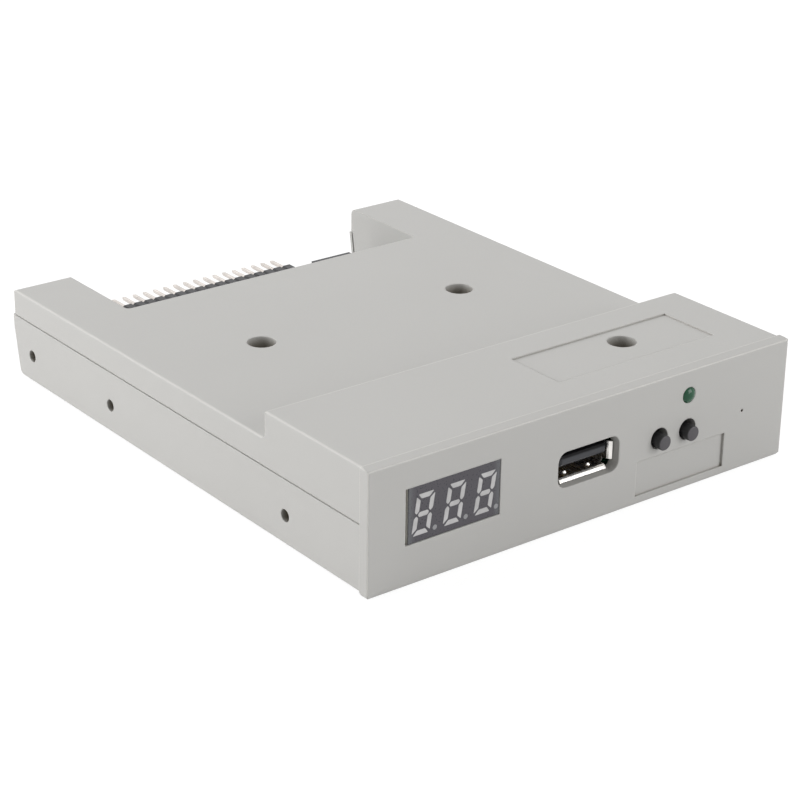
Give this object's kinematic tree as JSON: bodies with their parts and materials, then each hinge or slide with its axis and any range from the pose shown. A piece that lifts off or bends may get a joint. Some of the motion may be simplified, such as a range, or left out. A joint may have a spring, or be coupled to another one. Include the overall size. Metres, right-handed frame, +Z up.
{
  "type": "floppy drive emulator",
  "caption": "Light grey floppy drive emulator for a drive bay, with a digit display, memory-stick port, push buttons and a lamp, open at the rear for pin connectors.",
  "frame": {"origin": "under the middle of the whole drive, at the height of the bezel's lower edge", "axes": "+X to the right seen from the front, +Y from the bezel to the rear, +Z up"},
  "size_m": [0.101, 0.1254, 0.0251],
  "materials": {
    "housing": "fine satin moulded plastic, warm light grey",
    "black_plastic": "moulded black nylon",
    "button_plastic": "dark grey moulded plastic",
    "steel": "zinc-plated or nickel-plated sheet and screws",
    "tin": "tin-plated pins and leads",
    "gold": "gold-plated contact",
    "board": "glass-epoxy board with green solder mask",
    "lamp": "clear green epoxy lens",
    "display_face": "charcoal glossy face",
    "segments": "milky light grey segments",
    "white_plastic": "natural white nylon",
    "wire": "insulated wire",
    "chip": "black epoxy package",
    "can": "bare aluminium can",
    "ceramic": "fired ceramic chip with a glossy glaze"
  },
  "bodies": {
    "drive": {"upper_housing": "housing", "lower_housing": "housing", "case_screws": "steel", "main_board": "board", "header_body": "black_plastic", "header_pins": "tin", "power_body": "black_plastic", "power_pins": "tin", "jumper_body": "black_plastic", "jumper_pins": "tin", "port_shell": "steel", "port_tongue": "black_plastic", "port_contacts": "gold", "up_switch_base": "black_plastic", "down_switch_base": "black_plastic", "up_switch_cover": "steel", "down_switch_cover": "steel", "up_switch_dome": "steel", "down_switch_dome": "steel", "switch_legs": "tin", "lamp_lens": "lamp", "lamp_leads": "tin", "display_case": "white_plastic", "display_face": "display_face", "display_segments": "segments", "display_pins": "tin", "display_board": "board", "display_screws": "steel", "driver_chip": "chip", "driver_legs": "tin", "display_socket": "white_plastic", "display_plug": "white_plastic", "board_socket": "white_plastic", "board_plug": "white_plastic", "cable_wires": "wire", "controller_chip": "chip", "controller_legs": "tin", "buffer_chips": "chip", "buffer_legs": "tin", "crystal_can": "can", "crystal_base": "steel", "crystal_leads": "tin", "regulator_chip": "chip", "regulator_legs": "tin", "capacitor_cans": "can", "capacitor_bases": "black_plastic", "capacitor_feet": "tin", "resistor_chips": "chip", "ceramic_chips": "ceramic", "service_header": "black_plastic", "service_pins": "tin"},
    "up_button": {"up_plunger": "button_plastic"},
    "down_button": {"down_plunger": "button_plastic"},
    "jumper": {"jumper_cap": "black_plastic", "jumper_clip": "gold"}
  },
  "joints": [
    {"name": "up_press", "type": "slide", "parent": "drive", "child": "up_button", "axis": [0, 1, 0], "range_m": [0, 0.0003], "stiffness_N_per_m": 5000, "springref_m": -0.0001, "deforming": ["up_switch_dome"]},
    {"name": "down_press", "type": "slide", "parent": "drive", "child": "down_button", "axis": [0, 1, 0], "range_m": [0, 0.0003], "stiffness_N_per_m": 5000, "springref_m": -0.0001, "deforming": ["down_switch_dome"]},
    {"name": "jumper_pull", "type": "slide", "parent": "drive", "child": "jumper", "axis": [0, 1, 0], "range_m": [0, 0.0065]}
  ]
}
